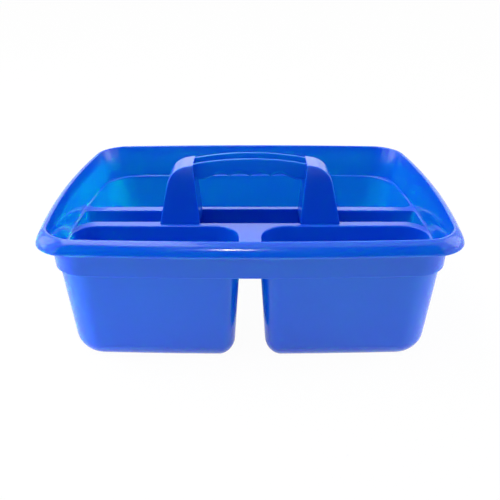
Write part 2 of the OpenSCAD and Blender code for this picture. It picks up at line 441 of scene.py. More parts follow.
@dataclass(frozen=True)
class MouldedPolypropylene:
    """Injection-moulded polypropylene: glossy, waxy and a little translucent where the wall is thin."""

    name: str
    colour: str
    deep_colour: str
    roughness: tuple[float, float] = (0.13, 0.20)
    ior: float = 1.49
    scatter: float = 1.0
    scatter_radius: Solid = (0.2, 10.0, 3.2)
    scatter_depth: float = 1.0
    flow_size: float = 55.0
    grain_size: float = 0.9
    grain_depth: float = 0.012

    def material(self) -> bpy.types.Material:
        """Build the material.

        Returns:
            A procedural material on Object coordinates.
        """
        material = bpy.data.materials.new(self.name)
        tree = empty_tree(material)
        place = add_node(tree, "ShaderNodeTexCoord").outputs["Object"]
        # Slow clouds where the melt cooled unevenly: they shift the colour and the gloss a little
        flow = add_node(
            tree,
            "ShaderNodeTexNoise",
            feeds={"Vector": place, "Scale": 1 / (self.flow_size * MM), "Detail": 3.0, "Roughness": 0.5},
        )
        tint = add_node(
            tree,
            "ShaderNodeMix",
            {"data_type": "RGBA"},
            {"Factor": flow, 6: linear_colour(self.deep_colour), 7: linear_colour(self.colour)},
        )
        smooth, dull = self.roughness
        gloss = add_node(
            tree,
            "ShaderNodeMapRange",
            feeds={"Value": flow, "From Min": 0.3, "From Max": 0.7, "To Min": smooth, "To Max": dull},
        )
        # The mould's fine spark grain, drawn as coarse as a render needs to show it
        grain = add_node(
            tree,
            "ShaderNodeTexNoise",
            feeds={"Vector": place, "Scale": 1 / (self.grain_size * MM), "Detail": 2.0},
        )
        bump = add_node(
            tree,
            "ShaderNodeBump",
            feeds={"Strength": 0.25, "Distance": self.grain_depth * MM, "Height": grain},
        )
        shader = add_node(
            tree,
            "ShaderNodeBsdfPrincipled",
            {"subsurface_method": "RANDOM_WALK"},
            {
                "Base Color": tint.outputs[2],
                "Roughness": gloss,
                "IOR": self.ior,
                "Subsurface Weight": self.scatter,
                "Subsurface Radius": self.scatter_radius,
                "Subsurface Scale": self.scatter_depth * MM,
                "Normal": bump,
            },
        )
        add_node(tree, "ShaderNodeOutputMaterial", feeds={"Surface": shader})
        return material


def dress(piece: bpy.types.Object, node: str, material: bpy.types.Material, crease: float = 32.0) -> None:
    """Give a finished solid its material and soft shading, and let it stand for its CAD node.

    Args:
        piece: Finished solid.
        node: CAD node that it replaces.
        material: Finish of the piece.
        crease: Angle past which an edge stays sharp.
    """
    shape = bmesh.new()
    shape.from_mesh(piece.data)
    bmesh.ops.remove_doubles(shape, verts=shape.verts, dist=WELD * MM)
    bmesh.ops.dissolve_degenerate(shape, edges=shape.edges, dist=WELD * MM)
    shape.to_mesh(piece.data)
    shape.free()
    piece.data.materials.clear()
    piece.data.materials.append(material)
    for polygon in piece.data.polygons:
        polygon.material_index = 0
        polygon.use_smooth = True
    piece.data.set_sharp_from_angle(angle=math.radians(crease))
    weighted = piece.modifiers.new("soft shading", "WEIGHTED_NORMAL")
    weighted.keep_sharp = True
    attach(piece, BODY)
    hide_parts(node)
    LOG.info("%s: %d faces", piece.name, len(piece.data.polygons))


@dataclass(frozen=True)
class Plan:
    """Plan of the caddy: the middle of each side stands further out than its ends."""

    half_width: float
    half_depth: float
    side_bow: float
    front_bow: float

    def bowed(self, x: float, y: float) -> Flat:
        """Move a point of the straight-sided plan out by the bow."""
        return (
            x + self.side_bow * x / self.half_width * (1 - (y / self.half_depth) ** 2),
            y + self.front_bow * y / self.half_depth * (1 - (x / self.half_width) ** 2),
        )


@dataclass(frozen=True)
class Form:
    """A drafted form with rounded corners, with its sizes at the level of the deck."""

    plan: Plan
    deck: float
    low: Flat
    high: Flat
    radii: tuple[float, ...]
    slopes: tuple[float, ...] = (0.0, 0.0, 0.0, 0.0)
    corner_steps: int = 16
    side_steps: int = 28
    least_radius: float = 0.8

    def level(self, inset: tuple[float, ...], z: float) -> Ring:
        """One ring of the form.

        Args:
            inset: How far each side moves in: -X, +X, -Y and +Y.
            z: Height of the ring.

        Returns:
            The ring's points.
        """
        low = (self.low[0] + inset[0], self.low[1] + inset[2])
        high = (self.high[0] - inset[1], self.high[1] - inset[3])
        radii = tuple(max(self.least_radius, r - min(inset)) for r in self.radii)
        outline = rounded(low, high, radii, self.corner_steps, self.side_steps)
        return [(*self.plan.bowed(x, y), z) for x, y in outline]

    def drafted(self, offset: float, z: float) -> Ring:
        """A ring at a height, moved in by the draft below the deck and by an offset."""
        return self.level(tuple((self.deck - z) * s + offset for s in self.slopes), z)

    def base(self, floor: float, radius: float, offset: float) -> list[Ring]:
        """Rings of the rounding between the floor and walls that stand in by an offset."""
        return [
            self.drafted(offset + radius * (1 - math.cos(t)), floor + radius * (1 - math.sin(t)))
            for t in reversed(quarter(FLOOR_STEPS))
        ]

    def mouth(self, offset: float, edge: float) -> list[Ring]:
        """Rings of the rounded edge at the deck, ending just above it."""
        rings = [
            self.drafted(offset - edge * (1 - math.cos(t)), self.deck - edge * (1 - math.sin(t)))
            for t in quarter(EDGE_STEPS)
        ]
        return [*rings, self.level((offset - edge,) * 4, self.deck + CUT_PAST)]

    def outside(self, floor: float, radius: float, top: float) -> list[Ring]:
        """Rings of the form with a rounded base.

        Args:
            floor: Height of the base.
            radius: Radius between the base and the walls.
            top: Height of the last ring.

        Returns:
            Rings from the base up.
        """
        return [*self.base(floor, radius, 0.0), self.drafted(0.0, top)]

    def space(self, floor: float, radius: float, offset: float, edge: float) -> list[Ring]:
        """Rings of an open space with a rounded floor and a rounded edge at the deck.

        Args:
            floor: Height of the floor.
            radius: Radius between the floor and the walls.
            offset: How far the walls stand in from the form.
            edge: Radius of the edge at the deck.

        Returns:
            Rings from the floor to just above the deck.
        """
        return [*self.base(floor, radius, offset), *self.mouth(offset, edge)]


@dataclass
class CarryHandle:
    """Snap-in handle: two hollow legs on the deck and a channel-shaped grip with finger grooves."""

    crown: float
    deck: float = 95.0
    wall: float = 2.0
    legs_width: float = 180.5
    leg_width: float = 40.0
    leg_depth: float = 41.0
    leg_top_depth: float = 31.0
    leg_lean: float = 12.5
    leg_inner_lean: float = 4.8
    shoulder_radius: float = 23.0
    shoulder_slope: float = 9.0
    leg_edge: float = 1.2
    least_edge: float = 0.2
    hollow_edge: float = 0.0001
    grip_depth: float = 21.5
    grip_rise: float = 5.3
    grip_height: float = 16.0
    grip_edge: float = 4.5
    channel_corner: float = 1.5
    stations: int = 161
    finger_width: float = 20.5
    finger_count: int = 4
    finger_depth: float = 3.6
    haunch: float = 6.5
    haunch_flat: float = 10.0
    cusp_round: float = 0.5
    fit_gap: float = 0.3
    leg_seat: float = 2.5
    spigot_low: float = 69.0
    tongue_width: float = 13.0
    slit: float = 1.2
    barb: float = 1.5
    barb_height: float = 5.0

    @property
    def leg_top(self) -> float:
        """Height of the legs where they meet the grip."""
        return self.crown - self.grip_rise

    @property
    def inner_foot(self) -> float:
        """Distance of a leg's inner foot from the middle."""
        return self.legs_width / 2 - self.leg_width

    @property
    def inner_top(self) -> float:
        """Distance of a leg's inner top from the middle."""
        return self.inner_foot + (self.leg_top - self.deck) * math.tan(math.radians(self.leg_inner_lean))

    @property
    def pocket(self) -> Flat:
        """Half sizes of the pocket in the deck that takes the spigots."""
        return self.legs_width / 2 - self.leg_seat, self.leg_depth / 2 - self.leg_seat

    def leg_outline(self, inset: float, base: float, steps: int = 20) -> list[Flat]:
        """Front view of the left leg.

        Args:
            inset: How far the leaning edges and the top move in.
            base: Height of the foot.
            steps: Stretches along the shoulder.

        Returns:
            Points round the leg.
        """
        lean, inner, slope = (
            math.radians(a) for a in (self.leg_lean, self.leg_inner_lean, self.shoulder_slope)
        )
        outer_way = Vector((math.sin(lean), math.cos(lean)))
        inner_way = Vector((-math.sin(inner), math.cos(inner)))
        top_way = Vector((math.cos(slope), math.sin(slope)))
        outer = Vector((-self.legs_width / 2, self.deck)) + inset * Vector((outer_way.y, -outer_way.x))
        inward = Vector((-self.inner_foot, self.deck)) - inset * Vector((inner_way.y, -inner_way.x))
        top = Vector((-self.inner_top, self.leg_top)) + inset * Vector((top_way.y, -top_way.x))
        foot, level = Vector((0.0, base)), Vector((1.0, 0.0))
        a = crossing(outer, outer_way, foot, level)
        b = crossing(outer, outer_way, top, top_way)
        c = crossing(inward, inner_way, top, top_way)
        d = crossing(inward, inner_way, foot, level)
        shoulder = fillet(a, b, c, self.shoulder_radius - inset, steps)
        inner_corner = fillet(b, c, d, max(self.leg_edge - inset, self.least_edge), 5)
        return [tuple(a), *shoulder, *inner_corner, tuple(d)]

    def leg_half_depth(self, z: float) -> float:
        """Half the depth of a leg at a height."""
        share = (z - self.deck) / (self.leg_top - self.deck)
        return (self.leg_depth + (self.leg_top_depth - self.leg_depth) * share) / 2

    def leg_form(self, name: str, inset: float, base: float, edge: float) -> bpy.types.Object:
        """The left leg's block or its hollow.

        Args:
            name: Name of the solid.
            inset: How far all its faces move in.
            base: Height of the foot.
            edge: Radius of the edges round the front and the back.

        Returns:
            The solid.
        """
        front: list[Ring] = []
        for t in quarter(EDGE_STEPS):
            outline = self.leg_outline(inset + edge * (1 - math.sin(t)), base)
            drop = inset + edge * (1 - math.cos(t))
            front.append([(x, drop - self.leg_half_depth(z), z) for x, z in outline])
        back = [[(x, -y, z) for x, y, z in ring] for ring in reversed(front)]
        return loft(name, front + back)

    def leg(self) -> bpy.types.Object:
        """The left leg with its hollow, spigot and snap tongues.

        Returns:
            The solid.
        """
        pocket_x, pocket_y = self.pocket
        outer, inner = -(pocket_x - self.fit_gap), -(self.inner_foot + 2 * self.wall)
        half = pocket_y - self.fit_gap
        middle = -(self.legs_width - self.leg_width) / 2
        barb_top = self.spigot_low + self.barb_height + 2 * self.wall
        leg = self.leg_form("leg", 0.0, self.deck, self.leg_edge)
        root = block("spigot", (outer, -half, self.spigot_low), (inner, half, self.deck + self.wall / 2))
        combine(leg, Combine.JOIN, root)
        for way in (-1, 1):
            outline = [
                (half - self.wall / 2, barb_top),
                (half + self.barb, barb_top),
                (half, barb_top - self.barb_height),
                (half - self.wall / 2, barb_top - self.barb_height),
            ]
            reach = self.tongue_width / 2 - self.fit_gap
            rings = [[(middle + s * reach, way * y, z) for y, z in outline] for s in (-1, 1)]
            combine(leg, Combine.JOIN, loft("barb", rings))
            x = middle + way * (self.tongue_width + self.slit) / 2
            top = self.deck - 3 * self.wall
            slit_low = (x - self.slit / 2, -2 * half, self.spigot_low - CUT_PAST)
            combine(leg, Combine.CUT, block("slit", slit_low, (x + self.slit / 2, 2 * half, top)))
        hollow = self.leg_form("hollow", self.wall, self.deck + self.wall, self.hollow_edge)
        well_low = (outer + self.wall, self.wall - half, self.spigot_low - CUT_PAST)
        well_high = (inner - self.wall, half - self.wall, self.deck + 2 * self.wall)
        return combine(leg, Combine.CUT, hollow, block("well", well_low, well_high))

    def grip_section(self) -> list[Flat]:
        """Section of the grip, half a grip height above and below zero: a channel that is open on top.

        Returns:
            Distance outwards and height of each point.
        """
        half, inside = self.grip_depth / 2, self.grip_depth / 2 - self.wall
        top, low, lip = self.grip_height / 2, -self.grip_height / 2, self.wall / 2
        floor, corner = low + self.wall, self.channel_corner
        right = [
            *arc((half - self.grip_edge, low + self.grip_edge), self.grip_edge, -90, 0, 8),
            *arc((half - lip, top - lip), lip, 0, 180, 10),
            *arc((inside - corner, floor + corner), corner, 0, -90, 5),
        ]
        left = [(-out, height) for out, height in reversed(right)]
        return right + left

    def grip_tree(self, sizes: dict[str, object]) -> bpy.types.NodeTree:
        """Sweep of the grip's section, with a crowned top and a row of finger grooves below.

        Args:
            sizes: Values of the tree's inputs.

        Returns:
            The Geometry Nodes tree.
        """
        tree, size = node_tree("finger grip", sizes)
        back = add_node(tree, MATH, {"operation": "MULTIPLY"}, {0: size["Half Length"], 1: -1.0})
        start = add_node(tree, "ShaderNodeCombineXYZ", feeds={"X": back})
        end = add_node(tree, "ShaderNodeCombineXYZ", feeds={"X": size["Half Length"]})
        line = add_node(tree, "GeometryNodeCurvePrimitiveLine", feeds={"Start": start, "End": end})
        stations = {"Curve": line, "Count": size["Stations"]}
        path = add_node(tree, "GeometryNodeResampleCurve", feeds=stations)
        upright = add_node(tree, "GeometryNodeSetCurveNormal", {"mode": "Z_UP"}, {"Curve": path})
        section = add_node(tree, "GeometryNodeObjectInfo", feeds={"Object": size["Section"]})
        sweep = {"Curve": upright, "Profile Curve": section.outputs["Geometry"], "Fill Caps": True}
        bar = add_node(tree, "GeometryNodeCurveToMesh", feeds=sweep)
        place = add_node(tree, "GeometryNodeInputPosition")
        axes = add_node(tree, "ShaderNodeSeparateXYZ", feeds={"Vector": place}).outputs
        # Distances along the grip from the nearest groove's middle and from its neighbour's
        half = add_node(tree, MATH, {"operation": "DIVIDE"}, {0: size["Finger Width"], 1: 2.0})
        shifted = add_node(tree, MATH, {"operation": "ADD"}, {0: axes["X"], 1: half})
        own = add_node(tree, MATH, {"operation": "PINGPONG"}, {0: shifted, 1: half})
        other = add_node(tree, MATH, {"operation": "SUBTRACT"}, {0: size["Finger Width"], 1: own})
        # Heights over their centres of a flat arc along the whole grip and of both grooves' arcs
        arcs = []
        spans = (("Crown Radius", axes["X"]), ("Groove Radius", own), ("Groove Radius", other))
        for radius, away in spans:
            whole = add_node(tree, MATH, {"operation": "MULTIPLY"}, {0: size[radius], 1: size[radius]})
            square = add_node(tree, MATH, {"operation": "MULTIPLY"}, {0: away, 1: away})
            left = add_node(tree, MATH, {"operation": "SUBTRACT"}, {0: whole, 1: square})
            safe = add_node(tree, MATH, {"operation": "MAXIMUM"}, {0: left, 1: 0.0})
            arcs.append(add_node(tree, MATH, {"operation": "SQRT"}, {0: safe}))
        sag = add_node(tree, MATH, {"operation": "SUBTRACT"}, {0: arcs[0], 1: size["Crown Radius"]})
        crown = add_node(tree, MATH, {"operation": "ADD"}, {0: size["Crown Height"], 1: sag})
        both = {0: arcs[1], 1: arcs[2], 2: size["Cusp Round"]}
        row = add_node(tree, MATH, {"operation": "SMOOTH_MAX"}, both)
        levels = {0: size["Groove Top"], 1: size["Groove Radius"]}
        base = add_node(tree, MATH, {"operation": "SUBTRACT"}, levels)
        grooves = add_node(tree, MATH, {"operation": "ADD"}, {0: base, 1: row})
        # The haunches slope down from the outer grooves to the legs
        reach = add_node(tree, MATH, {"operation": "ABSOLUTE"}, {0: axes["X"]})
        slope = add_node(
            tree,
            "ShaderNodeMapRange",
            feeds={
                "Value": reach,
                "From Min": size["Haunch Start"],
                "From Max": size["Haunch End"],
                "To Min": size["Groove Top"],
                "To Max": size["Haunch Height"],
            },
        )
        edges = {0: grooves, 1: slope, 2: size["Cusp Round"]}
        low = add_node(tree, MATH, {"operation": "SMOOTH_MIN"}, edges)
        # The upper half of the section follows the crown, the lower half the grooves
        upper = add_node(tree, MATH, {"operation": "GREATER_THAN"}, {0: axes["Z"], 1: 0.0})
        top_move = add_node(tree, MATH, {"operation": "SUBTRACT"}, {0: crown, 1: size["Half Height"]})
        low_move = add_node(tree, MATH, {"operation": "ADD"}, {0: low, 1: size["Half Height"]})
        move = add_node(tree, "ShaderNodeMix", feeds={"Factor": upper, 2: low_move, 3: top_move})
        offset = add_node(tree, "ShaderNodeCombineXYZ", feeds={"Z": move})
        shaped = add_node(tree, "GeometryNodeSetPosition", feeds={"Geometry": bar, "Offset": offset})
        close_tree(tree, shaped, size["Material"])
        return tree

    def grip(self, material: bpy.types.Material) -> bpy.types.Object:
        """Grow the grip between the legs.

        Args:
            material: Finish of the grip.

        Returns:
            The solid.
        """
        half_finger = self.finger_width / 2
        groove_top = self.crown - self.grip_height
        lengths = {
            "Half Length": self.inner_top + self.wall / 4,
            "Crown Height": self.crown,
            "Crown Radius": (self.inner_top**2 + self.grip_rise**2) / (2 * self.grip_rise),
            "Half Height": self.grip_height / 2,
            "Finger Width": self.finger_width,
            "Groove Radius": (half_finger**2 + self.finger_depth**2) / (2 * self.finger_depth),
            "Groove Top": groove_top,
            "Cusp Round": self.cusp_round,
            "Haunch Height": groove_top - self.haunch,
            "Haunch Start": (self.finger_count - 1) * half_finger,
            "Haunch End": self.inner_top - self.haunch_flat,
        }
        sizes: dict[str, object] = {label: length * MM for label, length in lengths.items()}
        section = section_curve("grip section", self.grip_section())
        sizes |= {"Section": section, "Stations": self.stations, "Material": material}
        return grow("grip", self.grip_tree(sizes), sizes)

    def build(self, material: bpy.types.Material) -> bpy.types.Object:
        """Build and dress the handle.

        Args:
            material: Finish of the handle.

        Returns:
            The finished piece.
        """
        handle = self.leg()
        handle.name = "carry_handle_shell"
        other = mirrored(handle, "other_leg")
        combine(handle, Combine.JOIN, other, self.grip(material))
        dress(handle, "carry_handle", material)
        return handle


@dataclass
class Tray:
    """Tray moulding: rolled rim, upper wall, ledge, deck, bins and the trough under the handle."""

    width: float
    depth: float
    height: float
    handle: CarryHandle
    overhang: float = 11.75
    roll_height: float = 12.0
    roll_power: float = 1.45
    crest_radius: float = 1.6
    crest_turn: Flat = (99.0, 171.0)
    flare: float = 3.4
    flare_start: float = 106.0
    lip_edge: float = 0.9
    wall: float = 2.0
    front_bow: float = 6.5
    side_bow: float = 11.5
    corner_radius: float = 26.0
    wall_draft: float = 2.0
    ledge: float = 1.75
    ledge_edge: float = 0.8
    ledge_fillet: float = 0.4
    deck: float = 95.0
    outer_draft: float = 4.4
    inner_draft: float = 3.7
    strip: float = 3.6
    stem: float = 21.0
    floor_radius: float = 17.5
    front_outer_radius: float = 31.0
    front_back_radius: float = 24.0
    stem_radius: float = 26.0
    notch_radius: float = 20.0
    rear_front_radius: float = 12.0
    deck_edge: float = 1.25
    trough_depth: float = 28.0
    trough_drop: float = 32.0
    trough_end: float = 18.0
    strip_taper: float = 26.0
    trough_radius: float = 4.0
    trough_edge: float = 0.8
    end_edge: float = 0.001
    corner_points: int = 40
    band_points: int = 480
    plan: Plan = field(init=False)

    def __post_init__(self) -> None:
        """Work out the plan that every outline follows."""
        half_width, half_depth = self.width / 2 - self.side_bow, self.depth / 2 - self.front_bow
        self.plan = Plan(half_width, half_depth, self.side_bow, self.front_bow)

    @property
    def wall_half(self) -> Flat:
        """Half sizes of the upper wall's outside at the deck, before the bow."""
        return self.plan.half_width - self.overhang, self.plan.half_depth - self.overhang

    @property
    def bin_half(self) -> Flat:
        """Half sizes of the space that the bins fill, inside the ledge."""
        return self.wall_half[0] - self.ledge, self.wall_half[1] - self.ledge

    @property
    def straight(self) -> Plan:
        """The plan without its bow, for the handle's pocket."""
        return Plan(self.plan.half_width, self.plan.half_depth, 0.0, 0.0)

    @property
    def strip_y(self) -> float:
        """Distance from the middle to the bins' walls along the deck strips."""
        return self.handle.leg_depth / 2 + self.strip - self.wall

    @property
    def slopes(self) -> Flat:
        """How far the outer and the inner walls of the bins lean in for each millimetre down."""
        return math.tan(math.radians(self.outer_draft)), math.tan(math.radians(self.inner_draft))

    def lean(self, z: float) -> float:
        """Distance outwards of the upper wall's outside at a height, with its flare under the rim."""
        rise = max(0.0, z - self.flare_start) / (self.height - self.crest_radius - self.flare_start)
        return (z - self.deck) * math.tan(math.radians(self.wall_draft)) + self.flare * rise**2

    def band_section(self, steps: int = 8) -> list[Flat]:
        """Section of the upper wall with its rolled rim and its foot on the ledge.

        Args:
            steps: Stretches along each face of the flare.

        Returns:
            Distance outwards from the wall's outside at the deck, and height, of each point.
        """
        lip, brow = self.height - self.roll_height, self.height - self.crest_radius
        spring = lip + self.lip_edge
        run = self.lean(brow) - self.wall
        reach = self.overhang - run - self.crest_radius
        edge, foot = self.lip_edge, self.deck - self.wall
        over = self.roll(self.overhang, reach, spring, self.height - spring)
        under = self.roll(self.overhang - self.wall, reach, spring, self.height - spring - self.wall)
        under = [point for point in under if point[0] > self.lean(point[1])]
        levels = [i / steps for i in range(steps + 1)]
        flare_in = [brow + (self.flare_start - brow) * share for share in levels]
        flare_out = [self.flare_start + (under[-1][1] - self.flare_start) * share for share in levels]
        fillet_centre = (-self.wall - self.ledge_fillet, self.deck + self.ledge_fillet)
        return [
            *arc((self.overhang - edge, lip + edge), edge, -90, 0, 4),
            *over,
            *arc((run + self.crest_radius, brow), self.crest_radius, *self.crest_turn, 8),
            *((self.lean(z) - self.wall, z) for z in flare_in),
            *arc(fillet_centre, self.ledge_fillet, 0, -90, 4),
            (fillet_centre[0], foot),
            *arc((-self.ledge_edge, foot + self.ledge_edge), self.ledge_edge, -90, 0, 5),
            *((self.lean(z), z) for z in flare_out),
            *reversed(under),
            *arc((self.overhang - self.wall + edge, lip + edge), edge, 180, 270, 4),
        ]

    def roll(self, out: float, reach: float, spring: float, rise: float, steps: int = 18) -> list[Flat]:
        """One face of the rolled rim, a quarter of a superellipse.

        Args:
            out: Distance outwards of the lip.
            reach: How far the roll runs in from the lip to its crest.
            spring: Height at which it starts to curve.
            rise: Height of the crest above that.
            steps: Stretches along the face.

        Returns:
            Points from just above the spring to the crest.
        """
        power = 2 / self.roll_power
        turns = quarter(steps)[1:]
        shares = [(max(math.cos(t), 0.0) ** power, math.sin(t) ** power) for t in turns]
        return [(out - reach * (1 - c), spring + rise * s) for c, s in shares]

    def band_tree(self, sizes: dict[str, object]) -> bpy.types.NodeTree:
        """Sweep of a section round the caddy's plan, bowed on all four sides.

        The corners keep one radius from the wall out to the lip. Each point of the section moves the
        plan's sides outwards and leaves its corners as they are.

        Args:
            sizes: Values of the tree's inputs.

        Returns:
            The Geometry Nodes tree.
        """
        tree, size = node_tree("rim band", sizes)
        sides = {"Width": size["Width"], "Height": size["Depth"]}
        straight = add_node(tree, "GeometryNodeCurvePrimitiveQuadrilateral", feeds=sides)
        corners = {"Curve": straight, "Radius": size["Corner Radius"], "Count": size["Corner Points"]}
        cornered = add_node(tree, "GeometryNodeFilletCurve", {"mode": "POLY"}, corners)
        stations = {"Curve": cornered, "Count": size["Points"]}
        path = add_node(tree, "GeometryNodeResampleCurve", feeds=stations)
        upright = add_node(tree, "GeometryNodeSetCurveNormal", {"mode": "Z_UP"}, {"Curve": path})
        section = add_node(tree, "GeometryNodeObjectInfo", feeds={"Object": size["Section"]})
        place = add_node(tree, "GeometryNodeInputPosition")
        axes = add_node(tree, "ShaderNodeSeparateXYZ", feeds={"Vector": place}).outputs
        # The section is swept as a line of heights, and each of its points then moves out by its distance
        noted = add_node(
            tree,
            "GeometryNodeStoreNamedAttribute",
            {"data_type": "FLOAT", "domain": "POINT"},
            {"Geometry": section.outputs["Geometry"], "Name": "out", "Value": axes["X"]},
        )
        heights = add_node(tree, "ShaderNodeCombineXYZ", feeds={"Y": axes["Y"]})
        upended = add_node(tree, "GeometryNodeSetPosition", feeds={"Geometry": noted, "Position": heights})
        sweep = {"Curve": upright, "Profile Curve": upended}
        sheet = add_node(tree, "GeometryNodeCurveToMesh", feeds=sweep)
        reach = add_node(tree, "GeometryNodeInputNamedAttribute", {"data_type": "FLOAT"}, {"Name": "out"})
        way = add_node(tree, VECTOR_MATH, {"operation": "DIVIDE"}, {0: place, 1: size["Core"]})
        for limit, end in (("MINIMUM", (1.0, 1.0, 0.0)), ("MAXIMUM", (-1.0, -1.0, 0.0))):
            way = add_node(tree, VECTOR_MATH, {"operation": limit}, {0: way, 1: end})
        spread = add_node(tree, VECTOR_MATH, {"operation": "SCALE"}, {0: way, "Scale": reach})
        band = add_node(tree, "GeometryNodeSetPosition", feeds={"Geometry": sheet, "Offset": spread})
        # Each side bows out most at its middle
        shares = {}
        for axis, half in (("X", "Half Width"), ("Y", "Half Depth")):
            shares[axis] = add_node(tree, MATH, {"operation": "DIVIDE"}, {0: axes[axis], 1: size[half]})
        moves = {}
        for axis, across, bow in (("X", shares["Y"], "Side Bow"), ("Y", shares["X"], "Front Bow")):
            square = add_node(tree, MATH, {"operation": "MULTIPLY"}, {0: across, 1: across})
            fade = add_node(tree, MATH, {"operation": "SUBTRACT"}, {0: 1.0, 1: square})
            out = add_node(tree, MATH, {"operation": "MULTIPLY"}, {0: shares[axis], 1: size[bow]})
            moves[axis] = add_node(tree, MATH, {"operation": "MULTIPLY"}, {0: out, 1: fade})
        offset = add_node(tree, "ShaderNodeCombineXYZ", feeds=moves)
        bowed = add_node(tree, "GeometryNodeSetPosition", feeds={"Geometry": band, "Offset": offset})
        close_tree(tree, bowed, size["Material"])
        return tree

    def band(self, material: bpy.types.Material) -> bpy.types.Object:
        """Grow the upper wall with its rolled rim.

        Args:
            material: Finish of the tray.

        Returns:
            A closed ring of wall.
        """
        half_x, half_y = self.wall_half
        core = ((half_x - self.corner_radius) * MM, (half_y - self.corner_radius) * MM, 1.0)
        lengths = {
            "Width": 2 * half_x,
            "Depth": 2 * half_y,
            "Corner Radius": self.corner_radius,
            "Half Width": self.plan.half_width,
            "Half Depth": self.plan.half_depth,
            "Side Bow": self.side_bow,
            "Front Bow": self.front_bow,
        }
        sizes: dict[str, object] = {label: length * MM for label, length in lengths.items()}
        section = section_curve("band section", self.band_section())
        sizes |= {"Section": section, "Core": core, "Material": material}
        sizes |= {"Corner Points": self.corner_points, "Points": self.band_points}
        return grow("tray_shell", self.band_tree(sizes), sizes)

    def front_form(self) -> Form:
        """Size the left front bin.

        Returns:
            The outside of the bin.
        """
        outer, inner = self.slopes
        return Form(
            self.plan,
            self.deck,
            (-self.bin_half[0], -self.bin_half[1]),
            (self.wall - self.stem / 2, -self.strip_y),
            (self.stem_radius, self.front_back_radius, self.front_outer_radius, self.notch_radius),
            (outer, inner, outer, inner),
        )

    def rear_form(self) -> Form:
        """Size the rear bin.

        Returns:
            The outside of the bin.
        """
        outer, inner = self.slopes
        low, slopes = (-self.bin_half[0], self.strip_y), (outer, outer, inner, outer)
        radii = (self.front_outer_radius,) * 2 + (self.rear_front_radius,) * 2
        return Form(self.plan, self.deck, low, self.bin_half, radii, slopes)

    def strip_form(self) -> Form:
        """Size the left front bin with the deck strip behind it.

        Returns:
            The outside of both. The strip narrows round the bin's corner.
        """
        front = self.front_form()
        outer, inner = self.slopes
        high = (front.high[0], -self.trough_depth / 2)
        radii = (front.radii[0], self.strip_taper, *front.radii[2:])
        return replace(front, high=high, radii=radii, slopes=(outer, inner, outer, -inner))

    def trough_forms(self, grown: float) -> tuple[Form, Form, Form]:
        """The trough, the handle's pocket and the left wide end.

        Args:
            grown: How far the forms stand out from the trough's space.

        Returns:
            The three forms.
        """
        plan, deck = self.plan, self.deck
        outer, inner = self.slopes
        radii = (self.trough_radius + grown,) * 4
        end_x, side_y = self.bin_half[0] - self.wall + grown, self.trough_depth / 2 + grown
        pocket_x, pocket_y = (half + grown for half in self.handle.pocket)
        # The wide end's space reaches past the taper of the deck strip, which then stays standing in it
        wide_low = (-end_x, -(self.front_back_radius + self.strip_y))
        wide_x = self.trough_end + grown if grown else self.strip_taper + self.trough_radius
        wide_high = (wide_x - self.bin_half[0], self.trough_depth / 2 if grown else 0.0)
        return (
            Form(plan, deck, (-end_x, -side_y), (end_x, side_y), radii, (outer, outer, inner, inner)),
            Form(self.straight, deck, (-pocket_x, -pocket_y), (pocket_x, pocket_y), radii),
            Form(plan, deck, wide_low, wide_high, radii, (outer, 0.0, inner, 0.0)),
        )

    def trough_block(self) -> list[bpy.types.Object]:
        """Build the outside of the trough.

        Returns:
            The trough, the pocket and the wide ends.
        """
        trough, pocket, end = self.trough_forms(self.wall)
        floor, radius = self.deck - self.trough_drop - self.wall, self.trough_radius + self.wall
        top = self.deck - self.wall / 2
        wide = loft("end", end.outside(floor, radius, top))
        return [
            loft("trough", trough.outside(floor, radius, top)),
            loft("pocket", [pocket.drafted(0.0, z) for z in (floor, top)]),
            mirrored(wide, "other_end"),
            wide,
        ]

    def trough_spaces(self) -> list[bpy.types.Object]:
        """Build the spaces of the trough.

        Returns:
            The trough, the pocket and the wide ends, which pass round the front bins.
        """
        trough, pocket, end = self.trough_forms(0.0)
        floor, radius, edge = self.deck - self.trough_drop, self.trough_radius, self.trough_edge
        wide = loft("end", end.space(floor, radius, 0.0, self.end_edge))
        strip = self.strip_form()
        keep = [strip.drafted(-self.deck_edge, z) for z in (0.0, self.deck + 2 * CUT_PAST)]
        combine(wide, Combine.CUT, loft("strip", keep))
        return [
            loft("trough", trough.space(floor, radius, 0.0, edge)),
            loft("pocket", [pocket.drafted(0.0, floor + radius), *pocket.mouth(0.0, edge)]),
            mirrored(wide, "other_end"),
            wide,
        ]

    def snap_slots(self) -> list[bpy.types.Object]:
        """Build the slots in the pocket's walls for the barbs of the handle's snap tongues.

        Returns:
            A slot on each side.
        """
        handle = self.handle
        middle = (handle.legs_width - handle.leg_width) / 2
        reach = handle.pocket[1] + self.wall + handle.fit_gap
        half = handle.tongue_width / 2 + handle.fit_gap
        top = handle.spigot_low + handle.barb_height + 2 * handle.wall + handle.fit_gap
        low = top - handle.barb_height - 2 * handle.fit_gap
        centres = [side.value * middle for side in Side]
        return [block("slot", (x - half, -reach, low), (x + half, reach, top)) for x in centres]

